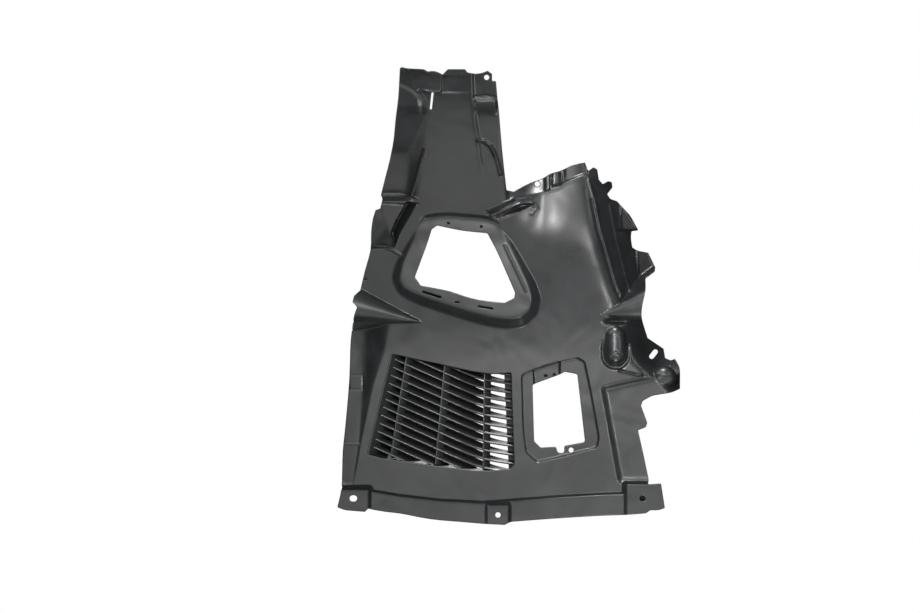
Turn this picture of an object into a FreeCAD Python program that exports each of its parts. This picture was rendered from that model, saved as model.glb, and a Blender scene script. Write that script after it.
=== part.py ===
"""Front section of a car's front wheel arch liner, one moulding in black polypropylene.

Frame: X to the right, Z up, Y away from the wheel. The origin is the middle of the
lower centre screw hole, on the wheel-side face of its pad. Millimetres throughout.
The wall is the space between two forms: the wheel-side face, and the same face set
back by the wall. Ribs, louvres and lugs are added to it, then the holes are cut.
"""
import FreeCAD, Part
import math
import os

from FreeCAD import Vector

os.makedirs("parts", exist_ok=True)
doc = FreeCAD.newDocument("wheel_arch_liner")

SIZES = (
    ("wall", 2.5, "wall of the moulding"),
    ("panel_front", 10, "front of the main panel ahead of the screw pads"),
    ("flange_front", 5, "front of the bottom flange ahead of the screw pads"),
    ("arch_radius", 520, "radius of the arch over the tyre"),
    ("arch_start", 200, "height where the arch leaves the flat panel"),
    ("shoulder_start", 360, "height where the right shoulder leaves the arch"),
    ("shoulder_lean", 0.45, "how far the shoulder leans back, per mm up"),
    ("side_lean", 1.5, "how far the side band falls back, per mm out"),
    ("side_round", 7, "softness of the turn into the side band"),
    ("duct_rise", 18, "duct frame's face ahead of the arch at its foot"),
    ("duct_sink", 2.3, "duct frame's face behind the arch at its head"),
    ("duct_draft", 0.6, "lean of the duct frame's wall, per mm of depth"),
    ("duct_corner", 12, "corner radius of the duct frame"),
    ("flange_fall", 17, "fall of the left flange at its upper end"),
    ("channel_fall", 18, "fall of the neck's left strip at its foot"),
    ("horn_fall", 26, "fall below the ridge of the upper left horn"),
    ("groove_fall", 13, "depth of the dark groove beside the duct frame"),
    ("lens_fall", 9, "depth of the pointed groove at the shoulder's foot"),
    ("gusset_fall", 1.5, "depth of the three-cornered field in the neck"),
    ("lug_fall", 5, "depth of the field in the right side lug"),
    ("horn_radius", 28, "radius of the lower left horn at its open end"),
    ("window_recess", 3, "sunk frame around the service window"),
    ("clip_recess", 7, "clip seat above the service window"),
    ("step_fall", 5, "fall of the lower right flange"),
    ("thumb_radius", 14, "radius of the thumb-shaped boss"),
    ("pocket_radius", 12, "radius of the small horn at the right"),
    ("knob_radius", 14, "radius of the locating knob"),
    ("knob_rise", 11, "height of the locating knob"),
    ("tab_lean", 14, "how far the top tab leans back over its height"),
    ("grille_depth", 26, "depth of the louvre box"),
    ("grille_inset", 6, "louvres set back from the panel"),
    ("grille_slant", 1.05, "sideways run of the air per mm of depth"),
    ("louvre_pitch", 11.5, "height from one louvre to the next"),
    ("louvre_gauge", 3, "thickness of a louvre"),
    ("louvre_fall", 0.447, "fall of a louvre per mm, left part"),
    ("louvre_end_fall", 0.15, "fall of a louvre per mm, right end"),
    ("louvre_bend", 200, "radius of the bend in a louvre"),
    ("rib_gauge", 2, "thickness of the upright ribs"),
    ("rib_depth", 8, "depth of the upright ribs"),
    ("pad_bore", 7, "hole of the centre and right screw pads"),
    ("slot_width", 8, "width of the slot in the left pad"),
    ("slot_travel", 2, "run of the slot beyond its width"),
    ("side_pad_reach", 188, "middle of the pads' holes to the centre hole"),
    ("side_pad_height", 21.5, "side pads' holes above the centre hole"),
    ("tab_bore", 7, "hole of the top tab"),
    ("ear_bore", 6.5, "hole of the ear at the neck"),
    ("window_bore", 6.5, "hole of the lug below the service window"),
    ("duct_slot", 2.4, "width of the duct clips' slots"),
    ("neck_slot", 2.6, "width of the slot in the neck"),
    ("side_slot", 6.5, "width of the slot in the side ear"),
)

sheet = doc.addObject("Spreadsheet::Sheet", "Sizes")
for row_number, (alias, value, note) in enumerate(SIZES, start=1):
    sheet.set(f"A{row_number}", note)
    sheet.set(f"B{row_number}", str(value))
    sheet.setAlias(f"B{row_number}", alias)
doc.recompute()
size = {alias: float(sheet.get(alias)) for alias, value, note in SIZES}

WALL = size["wall"]
REACH = 700.0
FRONT = -320.0
SIDE = 260.0


def soft_ramp(distance, softness):
    """Zero on the near side of a line and equal to the distance on its far side."""
    ratio = distance / softness
    if ratio > 30:
        return distance
    return softness * math.log1p(math.exp(ratio))


def soft_step(value, low, high):
    """Rises smoothly from 0 at low to 1 at high."""
    share = min(max((value - low) / (high - low), 0.0), 1.0)
    return share * share * (3 - 2 * share)


def between(points, height):
    """The value at a height on a line through (height, value) points."""
    if height <= points[0][0]:
        return points[0][1]
    for (low, first), (high, second) in zip(points, points[1:]):
        if height <= high:
            return first + (second - first) * (height - low) / (high - low)
    return points[-1][1]


def arch_depth(z):
    """Y of the arch: flat up to its start, then a circle that leans over the tyre."""
    rise = max(z - size["arch_start"], 0.0)
    radius = size["arch_radius"]
    return -size["panel_front"] - radius + math.sqrt(radius ** 2 - rise ** 2)


# Where the panel turns into the side band: height, then distance to the right.
SIDE_TURN = ((130, 250), (180, 205), (214, 170), (250, 167), (276, 160), (290, 151),
             (330, 139), (377, 129), (429, 120), (474, 114), (600, 95))
TURN_SHIFTS = (-16, -8, 0, 8, 16)
SHOULDER_ROUND = 18
SHOULDER_ENDS = (0, 60)


def side_turn(z):
    """Distance to the right of the turn, its corners evened out."""
    return sum(between(SIDE_TURN, z + shift) for shift in TURN_SHIFTS) / len(TURN_SHIFTS)


def skin_depth(x, z):
    """Y of the wheel-side face of the smooth panel."""
    rise = soft_ramp(z - size["shoulder_start"], SHOULDER_ROUND)
    shoulder = size["shoulder_lean"] * rise * soft_step(x, *SHOULDER_ENDS)
    turn = size["side_lean"] * soft_ramp(x - side_turn(z), size["side_round"])
    return arch_depth(z) + shoulder + turn


def skin_point(x, z, inset=0.0):
    """A point of the panel, set back so that the wall keeps its gauge on a slope."""
    step = 0.5
    slope_x = (skin_depth(x + step, z) - skin_depth(x - step, z)) / (2 * step)
    slope_z = (skin_depth(x, z + step) - skin_depth(x, z - step)) / (2 * step)
    gauge = inset * math.sqrt(slope_x ** 2 + slope_z ** 2 + 1)
    return Vector(x, skin_depth(x, z) + gauge, z)


# Heights and columns of the points that draw the panel: close together where it bends,
# over the arch's start, the shoulder's left end and the turn into the side band.
SKIN_ROWS = [-70, 0, 60, 110, 150, 185, 211, 237, 263, 289, 315, 341, 372, 405, 440,
             475, 510, 550, 590, 632]
PANEL_COLUMNS = [-300, 6, 27, 46, 64]
TURN_COLUMNS = [-22, -12, -4, 4, 12, 22]
LAST_COLUMN = 300
ROW_SCALE = 100.0
FAR_BACK = 20.0


def skin_form(inset):
    """The panel, solid behind its face: upright sections joined by straight strips."""
    rows = []
    for z in SKIN_ROWS:
        turned = [side_turn(z) + shift for shift in TURN_COLUMNS]
        columns = PANEL_COLUMNS + turned + [LAST_COLUMN]
        rows.append([skin_point(x, z, inset) for x in columns])
    back = REACH + FAR_BACK * inset
    sections = []
    for line in zip(*rows):
        face = Part.BSplineCurve()
        face.interpolate(Points=list(line), Parameters=[z / ROW_SCALE for z in SKIN_ROWS])
        head = Vector(line[-1].x, back, line[-1].z)
        foot = Vector(line[0].x, back, line[0].z)
        sections.append(Part.Wire([face.toShape(),
                                   Part.LineSegment(line[-1], head).toShape(),
                                   Part.LineSegment(head, foot).toShape(),
                                   Part.LineSegment(foot, line[0]).toShape()]))
    return Part.makeLoft(sections, True, True)


def grown(loop, distance):
    """A loop (anticlockwise, seen from the wheel) with every side moved outwards."""
    result = []
    for index, (x, z) in enumerate(loop):
        before = loop[index - 1]
        after = loop[(index + 1) % len(loop)]
        first = Vector(z - before[1], 0, before[0] - x).normalize()
        second = Vector(after[1] - z, 0, x - after[0]).normalize()
        shift = (first + second) * (distance / (1 + first.dot(second)))
        result.append((x + shift.x, z + shift.z))
    return result


GENTLE_TURN = 0.5
SMALLEST_ARC = 4.0


def rounded_wire(points, radius):
    """A closed wire through the points, its corners rounded.

    A gentle turn becomes one long arc, so a row of them reads as a curve. A corner
    with a small radius is broken by a short straight side.
    """
    edges = []
    starts = []
    ends = []
    middles = []
    for index, point in enumerate(points):
        back = points[index - 1] - point
        ahead = points[(index + 1) % len(points)] - point
        turn = math.pi - back.getAngle(ahead)
        reach = 0.42 * min(back.Length, ahead.Length)
        if turn > GENTLE_TURN or radius < SMALLEST_ARC:
            reach = min(reach, radius * math.tan(turn / 2))
        bend = reach / math.tan(turn / 2)
        back.normalize()
        ahead.normalize()
        towards = (back + ahead).normalize()
        starts.append(point + back * reach)
        ends.append(point + ahead * reach)
        middles.append(point + towards * (bend / math.cos(turn / 2) - bend))
    for index in range(len(points)):
        if radius < SMALLEST_ARC:
            edges.append(Part.LineSegment(starts[index], ends[index]).toShape())
        else:
            edges.append(Part.Arc(starts[index], middles[index], ends[index]).toShape())
        following = starts[(index + 1) % len(points)]
        edges.append(Part.LineSegment(ends[index], following).toShape())
    return Part.Wire(edges)


def plane_points(loop, plane):
    """The loop's points, each at the Y that the plane gives for its x and z."""
    return [Vector(x, plane(x, z), z) for x, z in loop]


def tapered(loop, plane, length, draft, radius):
    """A solid from a loop on a plane to the same loop at a distance along Y.

    A positive length goes back into the part and a negative one towards the wheel.
    """
    far_loop = grown(loop, draft * abs(length))
    near = rounded_wire(plane_points(loop, plane), radius)
    far = rounded_wire([point + Vector(0, length, 0)
                        for point in plane_points(far_loop, plane)], radius)
    return Part.makeLoft([near, far], True, True)


def corner_shift(draft):
    """How far a wall's corners move sideways per mm of inset, to keep the gauge."""
    return math.tan(math.atan2(1, draft) / 2)


def level(y):
    """A plane square to the Y axis."""
    return lambda x, z: y


def smooth_line(points):
    """A smooth edge through points."""
    curve = Part.BSplineCurve()
    curve.interpolate(points)
    return curve.toShape()


def swept_forward(lines):
    """The space in front of the ruled faces that join a row of lines."""
    edges = [smooth_line(line) for line in lines]
    solids = []
    for first, second in zip(edges, edges[1:]):
        face = Part.makeRuledSurface(first, second)
        solids.append(face.extrude(Vector(0, FRONT, 0)))
    return solids[0].fuse(solids[1:]) if len(solids) > 1 else solids[0]


# Outline seen from the wheel, anticlockwise from the left pad, in (x, z).
PAD = size["side_pad_reach"]
BOTTOM_EDGE = [(-PAD - 21, 10), (-PAD - 11, 6), (15 - PAD, 4), (19 - PAD, 8), (-147, 4),
               (-127, 2), (-88, -6), (-49, -9), (-14, -12), (9, -13), (16, -9), (68, -5),
               (133, -1), (PAD - 20, 0), (PAD + 4, 2), (PAD + 10, 6), (PAD + 21, 6),
               (PAD + 29, 9)]
RIGHT_EDGE = [(PAD + 24, 41), (PAD + 7, 40), (196, 46), (188, 84), (182, 110), (192, 114),
              (194, 120), (186, 142), (188, 148), (200, 155), (226, 159), (237, 164),
              (237, 192), (231, 203), (225, 201), (218, 204), (216, 216), (195, 230),
              (186, 257), (187, 272), (192, 292), (192, 307), (204, 316), (205, 322),
              (196, 341), (181, 344), (175, 348), (173, 360), (174, 369), (183, 370),
              (177, 381), (172, 390), (166, 396), (155, 408), (146, 411), (142, 417)]
SHOULDER_EDGE = [(149, 426), (148, 433), (143, 434), (136, 430), (131, 436),
                 (129, 449), (124, 452), (117, 447), (113, 458), (99, 456), (81, 447),
                 (68, 444), (58, 437), (42, 432), (20, 420), (11, 422)]
NECK_RIGHT = [(5, 474), (1, 524), (-1, 540), (-3, 562), (-8, 562), (-8, 571),
              (-14, 575), (-21, 572)]
NECK_TOP = [(-30, 571), (-40, 573), (-43, 577), (-65, 577), (-72, 570), (-75, 572),
            (-83, 575), (-91, 574), (-96, 577), (-117, 578), (-124, 580)]
LEFT_EDGE = [(-127, 578), (-129, 540), (-133, 513), (-135, 488), (-140, 462),
             (-147, 436), (-152, 416), (-150, 410), (-153, 398), (-159, 396),
             (-163, 384), (-165, 368), (-165, 344), (-173, 318), (-179, 292),
             (-187, 285), (-189, 277), (-183, 270), (-187, 260), (-192, 228),
             (-193, 176), (-199, 110), (-202, 84), (-PAD - 15, 39), (-PAD - 17, 26)]


def outline_wire():
    """The trimmed edge of the moulding, ahead of everything."""
    runs = [Vector(x, FRONT, z) for x, z in BOTTOM_EDGE + RIGHT_EDGE + SHOULDER_EDGE
            + NECK_RIGHT + NECK_TOP + LEFT_EDGE]
    return Part.makePolygon(runs + [runs[0]])


# Duct frame: the raised ring around the large opening above the louvres.
DUCT_FACE = [(-123, 296), (-112, 289), (-88, 280), (-36, 264), (-10, 257),
             (14, 254), (29, 256), (41, 266), (45, 280), (41, 298), (16, 352),
             (-1, 379), (-16, 385), (-66, 389), (-94, 386), (-101, 380), (-126, 325),
             (-129, 307)]
DUCT_OPENING = [(-108, 309), (-100, 298), (-88, 296), (-62, 291), (-43, 284),
                (-23, 279), (9, 276), (21, 282), (22, 289), (-1, 342), (-14, 366),
                (-47, 369), (-79, 376), (-86, 371), (-92, 352)]
DUCT_HEIGHTS = (265, 375)
DUCT_REACH = 60.0


def leaning_plane(heights, depths):
    """A plane with a Y at each of two heights, level from side to side."""
    low, high = heights
    lean = (depths[1] - depths[0]) / (high - low)
    return lambda x, z: depths[0] + lean * (z - low)


def duct_frame(inset):
    """Space cut ahead of the frame, and the block that stands up to its face."""
    foot, head = [arch_depth(z) + inset for z in DUCT_HEIGHTS]
    face = leaning_plane(DUCT_HEIGHTS, (foot - size["duct_rise"],
                                        head + size["duct_sink"]))
    draft = size["duct_draft"]
    corner = size["duct_corner"]
    shift = corner_shift(draft) * inset
    ahead = tapered(grown(DUCT_FACE, shift), face, -DUCT_REACH, draft, corner)
    block = tapered(grown(DUCT_FACE, -shift), face, DUCT_REACH, draft, corner)
    return ahead, block


# Lower left flange: crease on the panel, foot of its wall, and its far side.
FLANGE_CREASE = [(-189, 30), (-177, 98), (-163, 169), (-149, 214), (-141, 256)]
FLANGE_FOOT = [(-191, 30, 0.0), (-180, 98, 0.12), (-174, 169, 0.5), (-171, 214, 0.85),
               (-168, 256, 1.0)]
# Neck: edge of the body, foot of the wall beside it, and the strip to its left.
NECK_EDGE = [(-88, 530), (-94, 494), (-97, 470), (-101, 440), (-105, 414)]
NECK_FOOT = [(-90, 530, 0.0), (-105, 494, 0.35), (-115, 470, 0.65), (-118, 440, 0.85),
             (-123, 414, 1.0)]
# Upper left horn: its ridge on the panel and its low edge at the left.
HORN_RIDGE = [(-152, 402), (-142, 374), (-136, 358), (-133, 347)]
HORN_LOW = [(-172, 402, 0.5), (-175, 374, 0.9), (-176, 358, 1.0), (-176, 347, 1.0)]
SIDE_WALL_SHIFT = 0.6


def fallen_side(crease, foot, fall, inset, far_x=None):
    """The space ahead of a wall and a strip that lie behind the panel's crease."""
    shift = SIDE_WALL_SHIFT * inset
    top = [Vector(x + shift, skin_depth(x, z) + inset, z) for x, z in crease]
    low = [Vector(x + shift, skin_depth(x, z) + fall * part + inset, z)
           for x, z, part in foot]
    lines = [top, low]
    if far_x is not None:
        lines.append([Vector(far_x, point.y, point.z) for point in low])
    return swept_forward(lines)


# Fields let into the curved face: the dark groove left of the duct frame, the pointed
# groove at the shoulder's foot, the field in the neck and the one in the side lug.
GROOVE = [(-118, 405), (-131, 382), (-138, 366), (-133, 352), (-127, 366), (-114, 388),
          (-105, 405)]
LENS = [(2, 387), (12, 387), (36, 398), (43, 403), (28, 400), (10, 393)]
GUSSET = [(-101, 551), (-89, 526), (-85, 546)]
LUG_FIELD = [(187, 318), (193, 314), (200, 322), (194, 335), (185, 338)]
FIELD_REACH = 60.0


def let_in(loop, fall, draft, inset):
    """The space ahead of a field whose floor is parallel to the skin behind it."""
    shift = corner_shift(draft) * inset
    x = sum(point[0] for point in loop) / len(loop)
    heights = [pick(point[1] for point in loop) for pick in (min, max)]
    depths = [skin_depth(x, z) + fall + inset for z in heights]
    floor = leaning_plane(heights, depths)
    return tapered(grown(loop, shift), floor, -FIELD_REACH, draft, 1.5)


def let_in_fields(inset):
    """The four fields let into the curved face."""
    return [
        let_in(GROOVE, size["groove_fall"], 0.15, inset),
        let_in(LENS, size["lens_fall"], 0.3, inset),
        let_in(GUSSET, size["gusset_fall"], 0.5, inset),
        let_in(LUG_FIELD, size["lug_fall"], 0.3, inset),
    ]


def on_skin(x, z, sink=0.0):
    """The point of the smooth panel, sunk behind its face by a distance."""
    return Vector(x, skin_depth(x, z) + sink, z)


def round_horn(tip, mouth, radius, inset):
    """A cone that stands half out of the panel, from its tip to its open mouth."""
    axis = mouth - tip
    gauge = inset / math.cos(math.atan2(radius, axis.Length))
    share = gauge / radius
    start = tip + axis * share
    length = axis.Length * (1 - share)
    return Part.makeCone(0, radius - gauge, length + 0.01, start, axis)


WINDOW_FRAME = [(37, 81), (51, 69), (96, 80), (128, 88), (131, 100), (120, 162),
                (112, 199), (103, 204), (61, 195), (31, 182), (32, 149), (33, 110)]
WINDOW_OPENING = [(47, 96), (55, 88), (75, 89), (78, 81), (86, 81), (86, 90),
                  (113, 95), (103, 183), (87, 186), (79, 182), (49, 171), (45, 169)]
CLIP_SEAT = [(48, 165), (80, 176), (80, 198), (46, 187)]
RIGHT_STEP = [(161, 47), (SIDE, 47), (SIDE, 181), (200, 176), (165, 168), (140, 162)]
BELOW = -60
BOTTOM_STRIP = [(-SIDE, BELOW), (SIDE, BELOW), (SIDE, 29), (165, 28), (133, 27), (81, 24),
                (16, 19), (-18, 16), (-75, 19), (-127, 25), (-169, 32), (-SIDE, 41)]
LEFT_PAD = [(-SIDE, BELOW), (20 - PAD, BELOW), (20 - PAD, 33), (-SIDE, 33)]
CENTRE_PAD = [(-14, BELOW), (14, BELOW), (14, 13), (-14, 13)]
RIGHT_PAD = [(PAD - 21, BELOW), (SIDE, BELOW), (SIDE, 40), (PAD - 21, 40)]
CUT_AHEAD = 40.0


def sunk(loop, front, inset, draft=0.6, radius=3.0):
    """The space ahead of a sunk field: a loop on its floor, opening to the wheel."""
    shift = corner_shift(draft) * inset
    return tapered(grown(loop, shift), level(front + inset), -CUT_AHEAD, draft, radius)


def sunk_fields(inset):
    """Bottom flange, its three pads, window frame, clip seat and right flange."""
    panel = -size["panel_front"]
    return [
        sunk(BOTTOM_STRIP, -size["flange_front"], inset),
        sunk(LEFT_PAD, 0, inset),
        sunk(CENTRE_PAD, 0, inset),
        sunk(RIGHT_PAD, 0, inset),
        sunk(WINDOW_FRAME, panel + size["window_recess"], inset, 0.4, 6),
        sunk(CLIP_SEAT, panel + size["clip_recess"], inset, 0.3, 2),
        sunk(RIGHT_STEP, panel + size["step_fall"], inset, 1.2, 4),
    ]


TAB_FOOT = [(14, 408), (36, 413), (55, 419), (76, 424), (98, 431), (122, 437)]
TAB_HEAD = [(12, 424), (36, 436), (55, 444), (76, 452), (98, 462), (122, 468)]


TAB_SHIFT = 0.4


def top_tab(inset):
    """The space ahead of the tab and flange that fold back over the shoulder."""
    foot = [on_skin(x, z - TAB_SHIFT * inset, inset) for x, z in TAB_FOOT]
    head = [on_skin(x, z, size["tab_lean"] + inset) for x, z in TAB_HEAD]
    return swept_forward([foot, head])


# Bosses that stand out of the skin: each end as (x, z, depth of its middle behind it).
HORN_TIP = (-101, 251, -1.5)
HORN_MOUTH = (-196, 274, 5.3)
POCKET_TIP = (133, 256, 1)
POCKET_MOUTH = (172, 264, 4)
THUMB_LOW = (153, 208, 2)
THUMB_HIGH = (152, 233, 6)
DOME_ANGLES = (0, 35, 70)


def dome(radius, centre, towards):
    """A round end in two tapers, on a bar's end face."""
    pieces = []
    for low, high in zip(DOME_ANGLES, DOME_ANGLES[1:]):
        start, end = math.radians(low), math.radians(high)
        place = centre + towards * (radius * math.sin(start))
        rise = radius * (math.sin(end) - math.sin(start))
        pieces.append(Part.makeCone(radius * math.cos(start), radius * math.cos(end),
                                    rise, place, towards))
    return pieces


def thumb(inset):
    """The thumb-shaped boss at the right: a round bar with domed ends."""
    radius = size["thumb_radius"] - inset
    low = on_skin(*THUMB_LOW)
    high = on_skin(*THUMB_HIGH)
    length = (high - low).Length
    along = (high - low) / length
    bar = Part.makeCylinder(radius, length, low, along)
    return bar.fuse(dome(radius, low, along * -1) + dome(radius, high, along))


KNOB_CENTRE = (218, 179)
KNOB_ROOT = 30.0
KNOB_TAPER = 5.0


def knob(inset):
    """The locating knob on the side ear: a short round peg with a tapered end."""
    radius = size["knob_radius"] - inset
    foot = on_skin(*KNOB_CENTRE, KNOB_ROOT)
    length = KNOB_ROOT + size["knob_rise"] - inset
    towards_wheel = Vector(0, -1, 0)
    straight = length - KNOB_TAPER
    peg = Part.makeCylinder(radius, straight, foot, towards_wheel)
    nose = Part.makeCone(radius, radius - KNOB_TAPER, KNOB_TAPER,
                         foot + towards_wheel * straight, towards_wheel)
    return peg.fuse(nose)


def form(inset):
    """One face of the moulding, solid behind it: the panel with all its fields."""
    body = skin_form(inset)
    ahead, block = duct_frame(inset)
    body = body.cut(ahead).fuse(block)
    sides = [
        fallen_side(FLANGE_CREASE, FLANGE_FOOT, size["flange_fall"], inset, -SIDE),
        fallen_side(NECK_EDGE, NECK_FOOT, size["channel_fall"], inset, -SIDE),
        fallen_side(HORN_RIDGE, HORN_LOW, size["horn_fall"], inset),
    ]
    for space in sides + [top_tab(inset)] + let_in_fields(inset) + sunk_fields(inset):
        body = body.cut(space)
    lower_horn = round_horn(on_skin(*HORN_TIP), on_skin(*HORN_MOUTH),
                            size["horn_radius"], inset)
    small_horn = round_horn(on_skin(*POCKET_TIP), on_skin(*POCKET_MOUTH),
                            size["pocket_radius"], inset)
    for boss in [lower_horn, small_horn, thumb(inset), knob(inset)]:
        body = body.fuse(boss)
    return body


def feature(name, shape):
    """A document object that carries a shape made from the sheet's sizes."""
    item = doc.addObject("Part::Feature", name)
    item.Shape = shape
    return item


front_form = feature("front_form", form(0))
back_form = feature("back_form", form(WALL))
outline = feature("outline", Part.Face(outline_wire()).extrude(Vector(0, REACH, 0)))

shell = doc.addObject("Part::Cut", "shell")
shell.Base = front_form
shell.Tool = back_form
trimmed = doc.addObject("Part::Common", "trimmed")
trimmed.Base = shell
trimmed.Tool = outline

# Louvred outlet: the opening in the panel, and the upright ribs in (top, foot) pairs.
OUTLET = [(-170, 79), (-153, 74), (-114, 69), (-75, 63), (-17, 57), (16, 60), (21, 66),
          (18, 150), (17, 185), (-10, 183), (-36, 187), (-75, 196), (-114, 204),
          (-135, 209), (-139, 208)]
UPRIGHTS = (((-118, 215), (-143, 55)), ((-69, 205), (-83, 50)), ((-18, 195), (-20, 45)))
LOUVRE_BEND_X = -25.0
LOUVRE_LOW = 27.0
LOUVRE_HIGH = 178.0
LOUVRE_LEFT_RUN = 190.0
LOUVRE_RIGHT_RUN = 80.0
REAR_POST = [(14, 50), (60, 50), (60, 200), (6, 200)]


def outlet_prism(loop, start, end):
    """A prism that runs sideways with the air, its loop true at the panel's face."""
    slant = size["grille_slant"]
    shift = slant * (start + size["panel_front"])
    points = [Vector(x + shift, start, z) for x, z in loop]
    face = Part.Face(Part.makePolygon(points + [points[0]]))
    return face.extrude(Vector(slant * (end - start), end - start, 0))


def slanted_plate(face, depth):
    """A plate whose depth runs back and sideways with the air."""
    return face.extrude(Vector(size["grille_slant"] * depth, depth, 0))


def louvre_face(bend_height):
    """The front edge of one louvre: a long fall, a bend and a flatter right end."""
    steep = math.atan(size["louvre_fall"])
    flat = math.atan(size["louvre_end_fall"])
    first = Vector(math.sin(steep), 0, math.cos(steep))
    last = Vector(math.sin(flat), 0, math.cos(flat))
    middle = (first + last).normalize()
    front = size["grille_inset"] - size["panel_front"]
    bend = Vector(LOUVRE_BEND_X, front, bend_height)
    radius = size["louvre_bend"]
    centre = bend + middle * (radius / math.cos((steep - flat) / 2))
    left_run = Vector(-first.z, 0, first.x) * LOUVRE_LEFT_RUN
    right_run = Vector(last.z, 0, -last.x) * LOUVRE_RIGHT_RUN
    sides = []
    for half in (size["louvre_gauge"] / 2, -size["louvre_gauge"] / 2):
        reach = radius - half
        near = centre - first * reach
        far = centre - last * reach
        left = bend + left_run + first * half
        right = bend + right_run + last * half
        sides.append((left, near, centre - middle * reach, far, right))
    upper, lower = sides
    edges = [Part.LineSegment(upper[0], upper[1]).toShape(),
             Part.Arc(upper[1], upper[2], upper[3]).toShape(),
             Part.LineSegment(upper[3], upper[4]).toShape(),
             Part.LineSegment(upper[4], lower[4]).toShape(),
             Part.LineSegment(lower[4], lower[3]).toShape(),
             Part.Arc(lower[3], lower[2], lower[1]).toShape(),
             Part.LineSegment(lower[1], lower[0]).toShape(),
             Part.LineSegment(lower[0], upper[0]).toShape()]
    return Part.Face(Part.Wire(edges))


def upright_face(top, foot):
    """The front edge of one upright rib."""
    half = size["rib_gauge"] / 2
    front = size["grille_inset"] - size["panel_front"]
    points = [Vector(foot[0] - half, front, foot[1]), Vector(foot[0] + half, front, foot[1]),
              Vector(top[0] + half, front, top[1]), Vector(top[0] - half, front, top[1])]
    return Part.Face(Part.makePolygon(points + [points[0]]))


def outlet_insert():
    """Louvre box: its walls, the louvres and the ribs that tie them."""
    front = -size["panel_front"]
    rear = front + size["grille_depth"]
    body = outlet_prism(grown(OUTLET, size["rib_gauge"]), front, rear)
    room = outlet_prism(grown(OUTLET, 0.5 * size["rib_gauge"]), front, rear)
    air = outlet_prism(OUTLET, front - 1, rear + 1)
    depth = size["grille_depth"] - size["grille_inset"]
    count = int((LOUVRE_HIGH - LOUVRE_LOW) / size["louvre_pitch"]) + 1
    plates = [slanted_plate(louvre_face(LOUVRE_LOW + size["louvre_pitch"] * index), depth)
              for index in range(count)]
    for top, foot in UPRIGHTS:
        plates.append(slanted_plate(upright_face(top, foot), size["rib_depth"]))
    post = [Vector(x, rear - size["rib_gauge"], z) for x, z in REAR_POST]
    post_face = Part.Face(Part.makePolygon(post + [post[0]]))
    plates.append(post_face.extrude(Vector(0, size["rib_gauge"], 0)))
    return body.cut(air).fuse([plate.common(room) for plate in plates]), air


def bore(name, diameter, x, z):
    """A round hole through the moulding, with its size and place from the sheet."""
    hole = doc.addObject("Part::Cylinder", name)
    hole.Height = REACH
    hole.Placement = FreeCAD.Placement(Vector(0, FRONT, 0),
                                       FreeCAD.Rotation(Vector(1, 0, 0), -90))
    hole.setExpression("Radius", f"Sizes.{diameter} / 2")
    hole.setExpression(".Placement.Base.x", x)
    hole.setExpression(".Placement.Base.z", z)
    return hole


def long_slot(start, end, width):
    """A through slot with round ends between two (x, z) points."""
    first = Vector(start[0], FRONT, start[1])
    last = Vector(end[0], FRONT, end[1])
    run = (last - first).normalize()
    side = Vector(-run.z, 0, run.x) * (width / 2)
    cap = run * (width / 2)
    edges = [Part.LineSegment(first + side, last + side).toShape(),
             Part.Arc(last + side, last + cap, last - side).toShape(),
             Part.LineSegment(last - side, first - side).toShape(),
             Part.Arc(first - side, first - cap, first + side).toShape()]
    return Part.Face(Part.Wire(edges)).extrude(Vector(0, REACH, 0))


def through(loop):
    """A through opening from a loop with rounded corners."""
    points = [Vector(x, FRONT, z) for x, z in loop]
    return Part.Face(rounded_wire(points, 3)).extrude(Vector(0, REACH, 0))


TAB_HOLE = (51, 430)
EAR_HOLE = (-15, 566.5)
WINDOW_HOLE = (95, 84.5)
insert, air = outlet_insert()
slot_half = size["slot_travel"] / 2
left_x = -size["side_pad_reach"]
pad_z = size["side_pad_height"]
openings = [
    feature("duct_opening", through(DUCT_OPENING)),
    feature("window_opening", through(WINDOW_OPENING)),
    feature("outlet_opening", air),
    feature("left_slot", long_slot((left_x - slot_half, pad_z), (left_x + slot_half, pad_z),
                                   size["slot_width"])),
    feature("duct_slot_left", long_slot((-97, 290), (-75, 283), size["duct_slot"])),
    feature("duct_slot_right", long_slot((-25, 271), (-8, 268), size["duct_slot"])),
    feature("neck_slot", long_slot((-85, 546), (-87, 527), size["neck_slot"])),
    feature("side_slot", long_slot((200, 206), (205, 212), size["side_slot"])),
    bore("centre_bore", "pad_bore", "0 mm", "0 mm"),
    bore("right_bore", "pad_bore", "Sizes.side_pad_reach * 1 mm",
         "Sizes.side_pad_height * 1 mm"),
    bore("tab_hole", "tab_bore", *[f"{place} mm" for place in TAB_HOLE]),
    bore("ear_hole", "ear_bore", *[f"{place} mm" for place in EAR_HOLE]),
    bore("window_hole", "window_bore", *[f"{place} mm" for place in WINDOW_HOLE]),
]
doc.recompute()

all_openings = doc.addObject("Part::MultiFuse", "all_openings")
all_openings.Shapes = openings
pierced = doc.addObject("Part::Cut", "pierced")
pierced.Base = trimmed
pierced.Tool = all_openings
liner = doc.addObject("Part::MultiFuse", "liner")
liner.Shapes = [pierced, feature("louvre_insert", insert)]
liner.Label = "arch_liner"
doc.recompute()

for item in doc.Objects:
    if "Invalid" in item.State or "Error" in item.State:
        raise RuntimeError(f"{item.Name} failed: {item.State}")
    if item.TypeId != "Spreadsheet::Sheet" and (item.Shape.isNull()
                                                or not item.Shape.isValid()):
        raise RuntimeError(f"{item.Name} has no valid shape")
if len(liner.Shape.Solids) != 1:
    raise RuntimeError(f"the liner has {len(liner.Shape.Solids)} solids")
print("volume", round(liner.Shape.Volume), "faces", len(liner.Shape.Faces))
liner.Shape.exportStep(os.path.join("parts", f"{liner.Label}.step"))
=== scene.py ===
"""Front section of a car's front wheel arch liner, moulded in black polypropylene."""

import math

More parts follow.
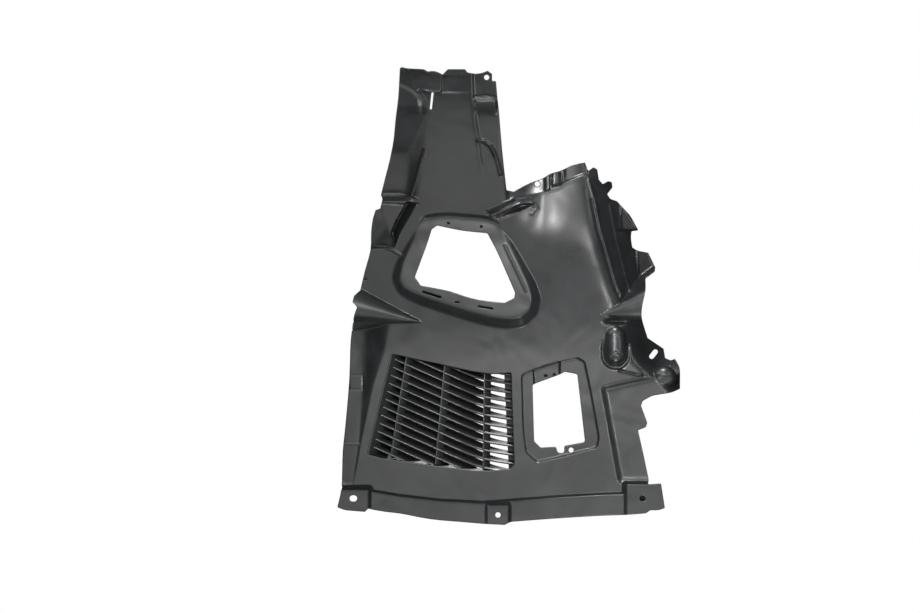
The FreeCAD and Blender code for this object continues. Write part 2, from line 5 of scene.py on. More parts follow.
import bmesh
import bpy
import numpy as np
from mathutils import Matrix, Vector
from mathutils.geometry import delaunay_2d_cdt
from mathutils.kdtree import KDTree


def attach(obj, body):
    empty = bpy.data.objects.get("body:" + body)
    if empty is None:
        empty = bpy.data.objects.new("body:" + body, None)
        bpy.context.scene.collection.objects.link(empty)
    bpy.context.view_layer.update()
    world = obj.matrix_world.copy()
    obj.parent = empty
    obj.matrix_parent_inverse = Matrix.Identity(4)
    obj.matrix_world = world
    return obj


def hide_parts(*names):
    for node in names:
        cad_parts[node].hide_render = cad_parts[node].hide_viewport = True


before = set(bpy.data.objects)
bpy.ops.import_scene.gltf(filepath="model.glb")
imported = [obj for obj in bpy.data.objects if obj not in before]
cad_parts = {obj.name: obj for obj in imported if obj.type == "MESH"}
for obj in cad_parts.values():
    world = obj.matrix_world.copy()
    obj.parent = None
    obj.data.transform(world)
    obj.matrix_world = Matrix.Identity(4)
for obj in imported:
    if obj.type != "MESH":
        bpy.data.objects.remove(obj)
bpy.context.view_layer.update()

# The wheel-side face, as a depth in Y for each place: the flat panel, the arch that
# leans over the tyre, the shoulder at the right and the band that turns to the side.
# Places are in millimetres to the right and up from the centre screw hole.
PANEL = -10.0
ARCH_RADIUS = 520.0
ARCH_START = 200.0
SHOULDER_START = 360.0
SHOULDER_LEAN = 0.45
SHOULDER_ROUND = 18
CROWN_MIDDLE = (74, 372)
CROWN_REACH = (42, 62)
CROWN_RISE = 5
SIDE_LEAN = 1.5
SIDE_ROUND = 7.0
SIDE_HEIGHTS = (130, 180, 214, 250, 276, 290, 330, 377, 429, 474, 600)
SIDE_REACH = (250, 205, 170, 167, 160, 151, 139, 129, 120, 114, 95)


def soft(distance, softness):
    """Zero before a line and the distance past it, with a round turn between."""
    return softness * np.logaddexp(0, distance / softness)


def ease(value, low, high):
    """Rises smoothly from 0 at low to 1 at high."""
    share = np.clip((value - low) / (high - low), 0, 1)
    return share * share * (3 - 2 * share)


def side_turn(z):
    """Distance to the right where the panel turns into the side band."""
    shifts = (-16, -8, 0, 8, 16)
    return sum(np.interp(z + shift, SIDE_HEIGHTS, SIDE_REACH) for shift in shifts) / 5


def skin(x, z):
    """The smooth panel without its fields."""
    rise = np.maximum(z - ARCH_START, 0)
    crown = CROWN_RISE * np.exp(-((x - CROWN_MIDDLE[0]) / CROWN_REACH[0]) ** 2
                                - ((z - CROWN_MIDDLE[1]) / CROWN_REACH[1]) ** 2)
    arch = PANEL - ARCH_RADIUS + np.sqrt(ARCH_RADIUS ** 2 - rise ** 2)
    shoulder = SHOULDER_LEAN * soft(z - SHOULDER_START, SHOULDER_ROUND) * ease(x, 0, 60)
    return arch - crown + shoulder + SIDE_LEAN * soft(x - side_turn(z), SIDE_ROUND)


# Neck: the narrow top that runs over the tyre, with a sunk strip at its left, a
# channel between them and a bead that runs into the shoulder. Moulded with the panel.
NECK_CREASE = [(414, -105), (440, -101), (470, -97), (494, -94), (530, -88)]
NECK_FOOT = [(414, -123, 18), (440, -118, 15.5), (470, -115, 12), (494, -105, 6.5),
             (530, -90, 0)]


def line_distance(x, z, line, closed=False):
    """Distance of each point from a line of (x, z) points."""
    ends = line[1:] + line[:1] if closed else line[1:]
    nearest = np.full(np.shape(x), 1e9)
    for (ax, az), (bx, bz) in zip(line, ends):
        run_x, run_z = bx - ax, bz - az
        along = ((x - ax) * run_x + (z - az) * run_z) / (run_x ** 2 + run_z ** 2)
        along = np.clip(along, 0, 1)
        away = np.hypot(x - ax - along * run_x, z - az - along * run_z)
        nearest = np.minimum(nearest, away)
    return nearest


def is_inside(x, z, loop):
    """True for each point inside the closed loop."""
    inside = np.zeros(np.shape(x), dtype=bool)
    for (ax, az), (bx, bz) in zip(loop, loop[1:] + loop[:1]):
        if az != bz:
            spans = (az > z) != (bz > z)
            inside ^= spans & (x < ax + (z - az) * (bx - ax) / (bz - az))
    return inside


def outside_by(x, z, loop):
    """Distance outside the loop, negative inside it."""
    away = line_distance(x, z, loop, closed=True)
    return np.where(is_inside(x, z, loop), -away, away)


def nearer(first, second, fillet):
    """The face nearer to the wheel of two, with a fillet where they cross."""
    mix = np.clip(0.5 + 0.5 * (second - first) / fillet, 0, 1)
    return second * (1 - mix) + first * mix - fillet * mix * (1 - mix)


def deeper(first, second, fillet):
    """The face further from the wheel of two, with a fillet where they cross."""
    return -nearer(-first, -second, fillet)


def bead(y, x, z, line, width, height):
    """A round ridge along a line, or a groove where the height is negative."""
    return y - height * np.exp(-(line_distance(x, z, line) / width) ** 2)


def sunk(y, x, z, loop, floor, draft, edge=0.9, fillet=1.6):
    """A field let into the panel down to a floor."""
    lid = floor - soft(outside_by(x, z, loop), edge) / draft
    return deeper(y, lid, fillet)


def fallen(y, x, z, crease, foot, low, high, turn=0.10, end=1.5):
    """The strip left of a crease, which falls back to a foot line: (z, x, depth)."""
    heights = [point[0] for point in crease]
    top = np.interp(z, heights, [point[1] for point in crease])
    heights = [point[0] for point in foot]
    bottom = np.interp(z, heights, [point[1] for point in foot])
    depth = np.interp(z, heights, [point[2] for point in foot])
    share = (top - x) / np.maximum(top - bottom, 1.5)
    ramp = soft(share, turn) - soft(share - 1, turn)
    window = ease(z, low - end, low + end) * (1 - ease(z, high - 1.5, high + 1.5))
    return y + depth * ramp * window


def neck(y, x, z):
    """Strip, channel, ribs, folds and beads of the neck."""
    y = fallen(y, x, z, NECK_CREASE, NECK_FOOT, 411, 600, 0.13, 5)
    y = bead(y, x, z, [(-96, 474), (-101, 457), (-106, 436), (-113, 416)], 1.2, 6)
    y = bead(y, x, z, [(-150, 416), (-127, 416), (-112, 414), (-104, 411)], 1.3, 1.6)
    y = bead(y, x, z, [(-150, 405), (-121, 403), (-104, 404)], 1.3, -1.6)
    fold = np.interp(x, [-128, -120, -112, -103, -96], [559, 556, 551, 544, 536])
    lip = ease(fold - z, -1, 5) * (1 - ease(fold - z, 6, 46)) * (1 - ease(x, -106, -97))
    y = y - 2.2 * lip
    step = ease(x, -74, -72) * (1 - ease(z, 567, 569)) * ease(z, 546, 549)
    y = y + 2.4 * step * (1 - ease(x, -60, -36))
    crease_x = np.interp(z, [440, 455, 487, 513, 539, 566], [-20, -23, -27, -31, -34, -35])
    y = y - 0.8 * np.exp(-((x - crease_x) / 2.6) ** 2) * ease(z, 440, 462)
    y = y + 1.4 * ease(x, crease_x, crease_x + 5) * ease(z, 440, 462)
    y = bead(y, x, z, [(-26, 486), (-18, 485), (-10, 479), (-4, 468), (0, 455), (3, 443)],
             2.2, 3.2)
    width = ease(x, -33, -28) * (1 - ease(x, -5, 0))
    y = y - 5.0 * width * ease(541 - z, 0, 6) * (1 - ease(535 - z, 0, 20))
    y = bead(y, x, z, [(-32, 542), (-16, 543.5), (-3, 541)], 1.2, -1.6)
    y = bead(y, x, z, [(-103, 550), (-92, 549), (-85, 547), (-75, 548)], 1.4, 2.2)
    gusset = [(-101, 551), (-85, 546), (-89, 526)]
    return sunk(y, x, z, gusset, y + 2.5, 0.5, 0.6, 1)


# Duct frame: a raised flat ring round the large opening, where an air duct clips on.
# Two slots and two small holes take its clips. Moulded with the panel.
DUCT_FACE = [(-123, 296), (-112, 289), (-88, 280), (-36, 264), (-10, 257), (14, 254),
             (29, 256), (41, 266), (45, 280), (41, 298), (16, 352), (-1, 379), (-16, 385),
             (-66, 389), (-94, 386), (-101, 380), (-126, 325), (-129, 307)]
DUCT_OPENING = [(-108, 309), (-100, 298), (-88, 296), (-62, 291), (-43, 284),
                (-23, 279), (9, 276), (21, 282), (22, 289), (-1, 342), (-14, 366),
                (-47, 369), (-79, 376), (-86, 371), (-92, 352)]
GROOVE = [(-118, 405), (-131, 382), (-138, 366), (-133, 352), (-127, 366), (-114, 388),
          (-105, 405)]


def rounded(loop, radius):
    """The loop with its corners rounded; a gentle turn becomes one long curve."""
    result = []
    for index, corner in enumerate(loop):
        corner = Vector(corner)
        back = Vector(loop[index - 1]) - corner
        ahead = Vector(loop[(index + 1) % len(loop)]) - corner
        turn = math.pi - back.angle(ahead)
        reach = 0.42 * min(back.length, ahead.length)
        if turn > 0.5:
            reach = min(reach, radius * math.tan(turn / 2))
        start = corner + back.normalized() * reach
        end = corner + ahead.normalized() * reach
        steps = 2 + int(turn / 0.3)
        for step in range(steps + 1):
            share = step / steps
            point = (start * (1 - share) ** 2 + corner * 2 * share * (1 - share)
                     + end * share ** 2)
            result.append(tuple(point))
    return result


def raised(y, x, z, loop, face, draft, edge=1.2, fillet=3.0):
    """A block that stands out to a face, with drafted walls and round edges."""
    block = face + soft(outside_by(x, z, loop), edge) / draft
    return nearer(y, block, fillet)


def duct_frame(y, x, z):
    """The raised ring and the dark groove at its left."""
    face = -32 - 6 * (z - 265) / 110
    loop = rounded(DUCT_FACE, 12)
    y = sunk(y, x, z, loop, face, 0.5, 1.5, 3)
    y = raised(y, x, z, loop, face, 0.6, 1.0, 5)
    right = np.interp(z, [352, 366, 388, 405], [-133, -127, -114, -105])
    left = np.interp(z, [352, 366, 382, 405], [-134, -138, -131, -118])
    fall = 19 * np.clip((right - x) / np.maximum(right - left, 1), 0, 1)
    y = sunk(y, x, z, GROOVE, skin(x, z) + 1 + fall, 0.12, 0.4, 1.0)
    return bead(y, x, z, [(9, 350), (17, 333), (26, 314), (36, 292)], 1.6, 1.0)


# Left side: the flange that falls back below the round horn, and the sharp horn above.
# A clip seat and a seam line cross the flange. Moulded with the panel.
FLANGE_CREASE = [(30, -189), (98, -177), (169, -163), (214, -149), (256, -141)]
FLANGE_FOOT = [(30, -191, 0), (98, -180, 2), (169, -174, 8.5), (214, -171, 14.5),
               (256, -168, 17)]
HORN_RIDGE = [(347, -133), (358, -136), (374, -142), (402, -152)]
HORN_LOW = [(347, -176, 26), (358, -176, 26), (374, -175, 23), (402, -172, 13)]


def half_cone(x, z, tip, mouth, tip_y, mouth_y, radius):
    """A round horn lying on the panel, from its tip to its open mouth."""
    run = math.dist(tip, mouth)
    ux, uz = (mouth[0] - tip[0]) / run, (mouth[1] - tip[1]) / run
    along = (x - tip[0]) * ux + (z - tip[1]) * uz
    across = np.abs((z - tip[1]) * ux - (x - tip[0]) * uz)
    share = np.maximum(along / run, 0)
    reach = radius * share
    crown = np.sqrt(np.maximum(reach ** 2 - across ** 2, 0))
    beyond = np.maximum(across - reach, 0) + np.maximum(-along, 0)
    return tip_y + (mouth_y - tip_y) * share - crown + 2.5 * beyond


def left_side(y, x, z):
    """Flange, its clip seat and seam, and the two horns."""
    y = fallen(y, x, z, FLANGE_CREASE, FLANGE_FOOT, 0, 256)
    foot_x = np.interp(z, [30, 98, 169, 256], [-191, -181, -174, -168])
    y = y + 0.16 * soft(foot_x - x, 1.5) * (1 - ease(z, 240, 256)) * ease(z, 36, 44)
    y = fallen(y, x, z, HORN_RIDGE, HORN_LOW, 347, 402, 0.05)
    y = bead(y, x, z, [(-138, 366), (-134, 349)], 1.8, 2.5)
    y = bead(y, x, z, [(-163, 349), (-148, 348), (-137, 344), (-127, 338)], 1.5, 1.8)
    horn = half_cone(x, z, (-101, 251), (-196, 274), -14, -10, 28)
    y = nearer(y, horn, 4)
    seat = [(-194, 163), (-176, 163), (-176, 182), (-194, 182)]
    y = bead(y, x, z, seat + seat[:1], 0.9, -0.9)
    return bead(y, x, z, [(-204, 92), (-180, 92)], 0.9, 0.8)


# Shoulder: the round bulge under the bonnet edge. Its top folds back as a clip tab,
# with a web, a pocket and a shallow rim beside it. Moulded with the panel.
TAB_FOOT_X = (14, 36, 55, 76, 98, 122)
TAB_FOOT_Z = (408, 413, 419, 424, 431, 437)


def shoulder(y, x, z):
    """Fold, tab, pocket and the two pointed grooves at the shoulder's foot."""
    foot = np.interp(x, TAB_FOOT_X, TAB_FOOT_Z)
    lean = 0.85 - 0.65 * ease(x, 78, 90)
    fold = soft(z - foot, 1.2) * lean * ease(x, 9, 15) * (1 - ease(x, 122, 130))
    y = y + fold
    y = raised(y, x, z, [(61, 421), (67, 423), (67, 448), (61, 446)], y - 7, 0.15, 0.5, 1)
    y = sunk(y, x, z, [(71, 428), (81, 430), (81, 450), (71, 447)], y + 9, 0.2, 0.5, 1)
    rim = [(84, 433), (116, 445), (114, 462), (84, 452)]
    y = sunk(y, x, z, rim, y + 6, 0.25, 0.6, 1)
    y = bead(y, x, z, [(-14, 396), (2, 403), (20, 411)], 1.1, 2.2)
    y = bead(y, x, z, [(-13, 392), (4, 399), (22, 408)], 1.1, -3)
    y = bead(y, x, z, [(-9, 389), (8, 395), (28, 404), (44, 405)], 1.8, 3.0)
    lens = [(-2, 386), (4, 385), (14, 388), (30, 395), (42, 403), (28, 401), (10, 393)]
    core = 10 * np.clip((z - np.interp(x, [-2, 42], [385, 400])) / 6, 0, 1) + 2
    y = sunk(y, x, z, lens, y + core, 0.25, 0.5, 1.0)
    return bead(y, x, z, [(44, 404), (50, 398), (44, 392)], 2.6, 1.2)


# Right side: thumb-shaped boss, small horn, locating knob and the torn-looking rim of
# lugs that clip to the side of the engine bay. Moulded with the panel.
THUMB = (153, 208)
THUMB_LENGTH = 25
THUMB_RADIUS = 14
THUMB_RING = 16.5
KNOB = (216, 180)
KNOB_RADIUS = 17.0
LUGS = (([(181, 344), (196, 340), (204, 322), (203, 317), (190, 309), (183, 312)], 36),
        ([(160, 405), (183, 371), (159, 371)], 26))


def walk(loop, pace):
    """The closed loop with points added so that no side is longer than the pace."""
    result = []
    for index, start in enumerate(loop):
        end = loop[(index + 1) % len(loop)]
        count = max(1, math.ceil(math.dist(start, end) / pace))
        for step in range(count):
            share = step / count
            result.append((start[0] + (end[0] - start[0]) * share,
                           start[1] + (end[1] - start[1]) * share))
    return result


def right_side(y, x, z):
    """Bosses, creases and lugs of the side band."""
    for loop, face in LUGS:
        y = raised(y, x, z, loop, face + 0.45 * (x - 180), 0.45, 0.8, 2.5)
        y = bead(y, x, z, walk(loop, 60) + loop[:1], 1.3, 1.6)
    along = np.clip((z - THUMB[1]) / THUMB_LENGTH, 0, 1)
    away = np.hypot(x - (THUMB[0] - along), z - THUMB[1] - THUMB_LENGTH * along)
    thumb = -7.7 + 3.7 * along - np.sqrt(np.maximum(THUMB_RADIUS ** 2 - away ** 2, 0))
    ring = np.exp(-((away - THUMB_RING) / 2.2) ** 2)
    y = y + 2.2 * ring * (1 - ease(z, 214, 230))
    y = nearer(y, thumb + 3 * np.maximum(away - THUMB_RADIUS, 0), 1.5)
    y = y + 7 * np.exp(-((x - 152) / 13) ** 4) * np.exp(-((z - 252) / 3.2) ** 2)
    y = nearer(y, half_cone(x, z, (133, 260), (172, 268), -13, -7, 15), 1.5)
    knob_reach = np.hypot(x - KNOB[0], (z - KNOB[1]) * 1.15)
    ball = 7 - 0.9 * np.sqrt(np.maximum(KNOB_RADIUS ** 2 - knob_reach ** 2, 0))
    y = nearer(y, ball + 3 * np.maximum(knob_reach - KNOB_RADIUS, 0), 1.5)
    y = bead(y, x, z, [(118, 436), (125, 410), (133, 371), (143, 338), (152, 306),
                       (160, 284)], 2.2, 2.2)
    y = bead(y, x, z, [(146, 403), (155, 358), (165, 318), (172, 292)], 2.0, 2.4)
    y = bead(y, x, z, [(122, 409), (130, 371), (140, 338), (149, 306), (157, 286)],
             2.0, -2.0)
    y = bead(y, x, z, [(158, 370), (183, 370)], 1.5, -4)
    y = bead(y, x, z, [(158, 187.5), (170, 185), (180, 182), (187, 182)], 1.4, 4)
    return bead(y, x, z, [(148, 207), (153, 212), (160, 209)], 1.6, -1.2)


# Service window: a shallow sunk frame with a clip seat above it. Lower right flange
# and the bottom flange with its three screw pads are let into the panel the same way.
WINDOW_FRAME = [(37, 81), (51, 69), (96, 80), (128, 88), (131, 100), (120, 162),
                (112, 199), (103, 204), (61, 195), (31, 182), (32, 149), (33, 110)]
WINDOW_OPENING = [(47, 96), (55, 88), (75, 89), (78, 81), (86, 81), (86, 90),
                  (113, 95), (103, 183), (87, 186), (79, 182), (49, 171), (45, 169)]
CLIP_SEAT = [(48, 165), (80, 176), (80, 198), (46, 187)]
RIGHT_STEP = [(161, 47), (270, 47), (270, 183), (200, 176), (165, 168), (140, 162)]
BOTTOM_STRIP = [(-260, -60), (260, -60), (260, 29), (165, 28), (133, 27), (81, 24),
                (16, 19), (-18, 16), (-75, 19), (-127, 25), (-169, 32), (-175, 31),
                (-260, 31)]
LEFT_PAD = [(-260, -60), (-168, -60), (-168, 33), (-260, 33)]
CENTRE_PAD = [(-14, -60), (14, -60), (14, 13), (-14, 13)]
RIGHT_PAD = [(167, -60), (270, -60), (270, 40), (167, 40)]


def sunk_fields(y, x, z):
    """Window frame, clip seat, right flange, bottom flange and pads."""
    y = sunk(y, x, z, rounded(WINDOW_FRAME, 6), PANEL + 3, 0.4, 0.5, 0.8)
    y = sunk(y, x, z, CLIP_SEAT, PANEL + 7, 0.3, 0.4, 0.7)
    y = sunk(y, x, z, RIGHT_STEP, PANEL + 5, 1.2, 1.4, 1.5)
    y = sunk(y, x, z, BOTTOM_STRIP, -5, 0.4, 0.7, 1)
    for pad in (LEFT_PAD, CENTRE_PAD, RIGHT_PAD):
        y = sunk(y, x, z, pad, 0, 0.6, 0.6, 1)
    return y


# The moulding itself: one wall, 2.5 mm thick, trimmed to its outline and openings. Its
# mesh is finer where the face bends, and its rim is broken by half a millimetre. The
# outline is the flash line of the mould, left a little ragged.
MM = 0.001
WALL = 2.5
FOREMOST = -173.3
BOTTOM_EDGE = [(-209, 10), (-199, 6), (-173, 4), (-169, 8), (-147, 4), (-127, 2),
               (-88, -6), (-49, -9), (-14, -12), (9, -13), (16, -9), (68, -5),
               (133, -1), (168, 0), (192, 2), (198, 6), (209, 6), (217, 9)]
RIGHT_EDGE = [(212, 41), (195, 40), (196, 46), (188, 84), (182, 110), (192, 114),
              (194, 120), (186, 142), (188, 148), (200, 155), (226, 159), (237, 164),
              (237, 192), (231, 203), (225, 201), (218, 204), (216, 216), (195, 230),
              (186, 257), (187, 272), (192, 292), (192, 307), (204, 316), (205, 322),
              (196, 341), (181, 344), (175, 348), (173, 360), (174, 369), (183, 370),
              (177, 381), (172, 390), (166, 396), (155, 408), (146, 411), (142, 417)]
SHOULDER_EDGE = [(149, 426), (148, 433), (143, 434), (136, 430), (131, 436),
                 (129, 449), (124, 452), (117, 447), (113, 458), (99, 456), (81, 447),
                 (68, 444), (58, 437), (42, 432), (20, 420), (11, 422)]
NECK_RIGHT = [(5, 474), (1, 524), (-1, 540), (-3, 562), (-8, 562), (-8, 571),
              (-14, 575), (-21, 572)]
NECK_TOP = [(-30, 571), (-40, 573), (-43, 577), (-65, 577), (-72, 570), (-75, 572),
            (-83, 575), (-91, 574), (-96, 577), (-117, 578), (-124, 580)]
LEFT_EDGE = [(-127, 578), (-129, 540), (-133, 513), (-135, 488), (-140, 462),
             (-147, 436), (-152, 416), (-150, 410), (-153, 398), (-159, 396),
             (-163, 384), (-165, 368), (-165, 344), (-173, 318), (-179, 292),
             (-187, 285), (-189, 277), (-183, 270), (-187, 260), (-192, 228),
             (-193, 176), (-199, 110), (-202, 84), (-203, 39), (-205, 26)]
OUTLINE = BOTTOM_EDGE + RIGHT_EDGE + SHOULDER_EDGE + NECK_RIGHT + NECK_TOP + LEFT_EDGE
OUTLET = [(-170, 79), (-153, 74), (-114, 69), (-75, 63), (-17, 57), (16, 60), (21, 66),
          (18, 150), (17, 185), (-10, 183), (-36, 187), (-75, 196), (-114, 204),
          (-135, 209), (-139, 208)]
PACE = 1.3
RIM_PACE = 1.5 * PACE
SHARP_BEND, SLIGHT_BEND = 0.06, 0.012
SHAKE = 0.2
RIM_RING = 1.2
RIM_TURN = 0.6
RIM_BREAK_FRONT, RIM_BREAK_BACK = 0.5, 0.3


def liner_depth(x, z):
    """Depth of the finished wheel-side face, kept behind its foremost point."""
    y = skin(x, z)
    for field in (duct_frame, left_side, neck, shoulder, right_side, sunk_fields):
        y = field(y, x, z)
    return np.maximum(y, FOREMOST)


def circle(x, z, across, up=None):
    """A round or oval hole as a loop."""
    up = up or across
    return [(x + across / 2 * math.cos(turn), z + up / 2 * math.sin(turn))
            for turn in np.linspace(0, math.tau, 20, endpoint=False)]


def slot(start, end, width):
    """A slot with round ends as a loop."""
    aim = math.atan2(end[1] - start[1], end[0] - start[0])
    loop = []
    for (x, z), first in ((end, aim - math.pi / 2), (start, aim + math.pi / 2)):
        for turn in np.linspace(first, first + math.pi, 7):
            loop.append((x + width / 2 * math.cos(turn), z + width / 2 * math.sin(turn)))
    return loop


BLIND_HOLES = [circle(188, 21.5, 7), slot((-97, 290), (-75, 283), 2.6),
               slot((-25, 271), (-8, 268), 2.6), slot((-55.5, 276.5), (-51, 276.5), 2),
               circle(-65, 379, 3), circle(-22, 374.5, 3), circle(-172, 306.5, 2.6),
               circle(62, 181, 3.6), circle(73, 182.5, 2.8)]
HOLES = [rounded(DUCT_OPENING, 3), rounded(WINDOW_OPENING, 3), rounded(OUTLET, 1.5),
         circle(0, 0, 7), slot((-189, 21.5), (-187, 21.5), 8), circle(51, 430, 7),
         circle(-15, 566.5, 6.5), circle(95, 84.5, 6.5), slot((200, 206), (205, 212), 6.5),
         slot((-85, 546), (-87, 527), 2.6)] + BLIND_HOLES


def grown(loop, distance):
    """A loop with every side moved outwards."""
    result = []
    for index, (x, z) in enumerate(loop):
        before = loop[index - 1]
        after = loop[(index + 1) % len(loop)]
        first = Vector((z - before[1], before[0] - x)).normalized()
        second = Vector((after[1] - z, x - after[0])).normalized()
        shift = (first + second) * (distance / (1 + first.dot(second)))
        result.append((x + shift.x, z + shift.y))
    return result


def guide_points():
    """Points that follow the creases and the field edges, so that these come out crisp."""
    lines = []
    for loop, width in ((BOTTOM_STRIP, 2), (LEFT_PAD, 6), (CENTRE_PAD, 6), (RIGHT_PAD, 6),
                        (rounded(WINDOW_FRAME, 6), 1.2), (CLIP_SEAT, 1.2),
                        (RIGHT_STEP, 6), (GROOVE, 2), (rounded(DUCT_FACE, 12), 11)):
        for offset in (-0.7, 0.1, 0.5 * width, width, width + 0.9):
            lines.append(grown(loop, offset) + grown(loop, offset)[:1])
    for crease, width in ((NECK_CREASE, 3), (FLANGE_CREASE, 3), (HORN_RIDGE, 3)):
        for shift in (-width, -1.2, 0, 1.0):
            lines.append([(x + shift, z) for z, x in crease])
    points = []
    for line in lines:
        for start, end in zip(line, line[1:]):
            count = max(1, math.ceil(math.dist(start, end) / 1.7))
            for step in range(count):
                points.append([start[axis] + (end[axis] - start[axis]) * step / count
                               for axis in (0, 1)])
    points = np.array(points)
    _, first = np.unique(np.round(points / 0.7), axis=0, return_index=True)
    return points[first]


def spaced(points, others, gap):
    """Those points that are at least a gap away from all the others."""
    tree = KDTree(len(others))
    for index, (x, z) in enumerate(others):
        tree.insert((x, z, 0), index)
    tree.balance()
    far = [tree.find((x, z, 0))[2] > gap for x, z in points]
    return points[np.array(far)]


def face_slopes(x, z, step=0.45):
    """Rise of the wheel-side face to the right and upwards."""
    across = (liner_depth(x + step, z) - liner_depth(x - step, z)) / (2 * step)
    up = (liner_depth(x, z + step) - liner_depth(x, z - step)) / (2 * step)
    return across, up


def within(points, loops):
    """True for each point inside the first loop and outside all the others."""
    inside = is_inside(points[:, 0], points[:, 1], loops[0])
    for loop in loops[1:]:
        inside &= ~is_inside(points[:, 0], points[:, 1], loop)
    return inside


def bend_grid():
    """A grid of points, closer together where the face bends. It is shaken a little, so
    that no four points lie on one circle and the triangles come out even."""
    x, z = np.meshgrid(np.arange(-212, 240, PACE), np.arange(-15, 583, PACE))
    depth = liner_depth(x, z)
    bend = np.zeros_like(depth)
    bend[:, 1:-1] = np.abs(depth[:, 2:] - 2 * depth[:, 1:-1] + depth[:, :-2])
    tall = np.abs(depth[2:] - 2 * depth[1:-1] + depth[:-2])
    bend[1:-1] = np.maximum(bend[1:-1], tall)
    for shift in (-1, 1):
        bend = np.maximum(bend, np.roll(bend, shift, axis=0))
        bend = np.maximum(bend, np.roll(bend, shift, axis=1))
    stride = np.where(bend > SHARP_BEND, 1, np.where(bend > SLIGHT_BEND, 2, 4))
    row, column = np.indices(depth.shape)
    kept = (row % stride == 0) & (column % stride == 0)
    grid = np.stack([x[kept], z[kept]], axis=1)
    return grid + np.random.default_rng(7).uniform(-SHAKE, SHAKE, grid.shape)


def face_points(loops):
    """Points within the rim: a ring along it, then the guides, then the grid."""
    rim = np.array(sum(loops, []))
    ring = [point for loop, inward in zip(loops, [-1] + [1] * len(HOLES))
            for point in grown(loop, RIM_RING * inward)]
    ring = spaced(np.array(ring), rim, 1.0)
    guides = spaced(spaced(guide_points(), ring, 0.7), rim, 0.9)
    guides = np.concatenate([ring, guides])
    grid = spaced(spaced(bend_grid(), guides, 0.75), rim, 0.9)
    points = np.concatenate([guides, grid])
    return points[within(points, loops)]


def triangulated(loops):
    """The face seen from the wheel, as points and as triangles that look at it."""
    edges = []
    first = 0
    for loop in loops:
        edges += [(first + index, first + (index + 1) % len(loop))
                  for index in range(len(loop))]
        first += len(loop)
    places = [Vector(place) for place in sum(loops, []) + face_points(loops).tolist()]
    flat, _, faces, _, _, _ = delaunay_2d_cdt(places, edges, [], 0, 1e-4)
    plan = np.array([tuple(point) for point in flat])
    faces = np.array([face for face in faces if len(face) == 3])
    kept = within(plan[faces].mean(axis=1), loops)
    used, corner_index = np.unique(faces[kept], return_inverse=True)
    plan = plan[used]
    faces = corner_index.reshape(-1, 3)
    a, b, c = (plan[faces[:, corner]] for corner in range(3))
    turned = ((b[:, 0] - a[:, 0]) * (c[:, 1] - a[:, 1])
              < (b[:, 1] - a[:, 1]) * (c[:, 0] - a[:, 0]))
    faces[turned] = faces[turned][:, ::-1]
    return plan, faces


def unit(vectors):
    """The vectors, each brought to length one."""
    return vectors / np.linalg.norm(vectors, axis=1)[:, None]


def moulding_mesh():
    """The wall as one closed mesh, with the normal of each face corner."""
    plan, faces = triangulated([walk(rounded(OUTLINE, 1.5), RIM_PACE)]
                               + [walk(hole, RIM_PACE) for hole in HOLES])
    x, z = plan[:, 0], plan[:, 1]
    front = liner_depth(x, z)
    slope_x, slope_z = face_slopes(x, z)
    normal = unit(np.stack([slope_x, -np.ones_like(x), slope_z], axis=1))
    back = front + WALL * np.minimum(np.sqrt(1 + slope_x ** 2 + slope_z ** 2), 3)
    sides = faces[:, [[0, 1], [1, 2], [2, 0]]].reshape(-1, 2)
    _, place, counts = np.unique(np.sort(sides, axis=1), axis=0, return_inverse=True,
                                 return_counts=True)
    rim = sides[counts[place.reshape(-1)] == 1]
    run = plan[rim[:, 1]] - plan[rim[:, 0]]
    away = unit(np.stack([run[:, 1], np.zeros(len(run)), -run[:, 0]], axis=1))
    outward = np.zeros_like(normal)
    for end in (0, 1):
        np.add.at(outward, rim[:, end], away)
    front_normal = unit(normal + RIM_TURN * outward)
    edge = np.unique(rim)
    front[edge] += RIM_BREAK_FRONT
    back[edge] -= RIM_BREAK_BACK
    behind = len(plan)
    verts = np.concatenate([np.stack([x, depth, z], axis=1) for depth in (front, back)])
    back_faces = faces[:, ::-1] + behind
    rim_faces = np.stack([rim[:, 1], rim[:, 0], rim[:, 0] + behind, rim[:, 1] + behind],
                         axis=1)
    normals = np.concatenate([front_normal[faces.reshape(-1)],
                              -normal[faces[:, ::-1].reshape(-1)],
                              np.repeat(away, 4, axis=0)])
    faces = faces.tolist() + back_faces.tolist() + rim_faces.tolist()
    return verts * MM, faces, normals


def add_piece(name, mesh):
    """An object of the liner made from a mesh."""
    piece = bpy.data.objects.new(name, mesh)
    bpy.context.collection.objects.link(piece)
    return piece


verts, faces, normals = moulding_mesh()
mesh = bpy.data.meshes.new("liner_moulding")
mesh.from_pydata(verts.tolist(), [], faces)
mesh.shade_smooth()
mesh.normals_split_custom_set(normals.tolist())
moulding = add_piece("liner_moulding", mesh)

# Louvred outlet: curved louvres in a box moulded behind the panel, tied by three thin
# upright ribs. The air runs back and to the right, so the box and louvres slant.
BOX_DEPTH = 26.0
BOX_RIGHT = 43.0
INSET = 6.0
SLANT = 1.05
LOUVRES = range(-2, 15)
LOWEST = 27
PITCH = 11.5
GAUGE = 3.0
STEEP, FLAT = math.atan(0.447), math.atan(0.15)
STEEP_RUN = 190
UPRIGHT_STEPS = 60
UPRIGHTS = (((-118, 215), (-143, 55)), ((-69, 205), (-83, 50)), ((-18, 195), (-20, 45)))
REAR_POST = [(14, 58), (43, 60), (43, 186), (8, 186)]


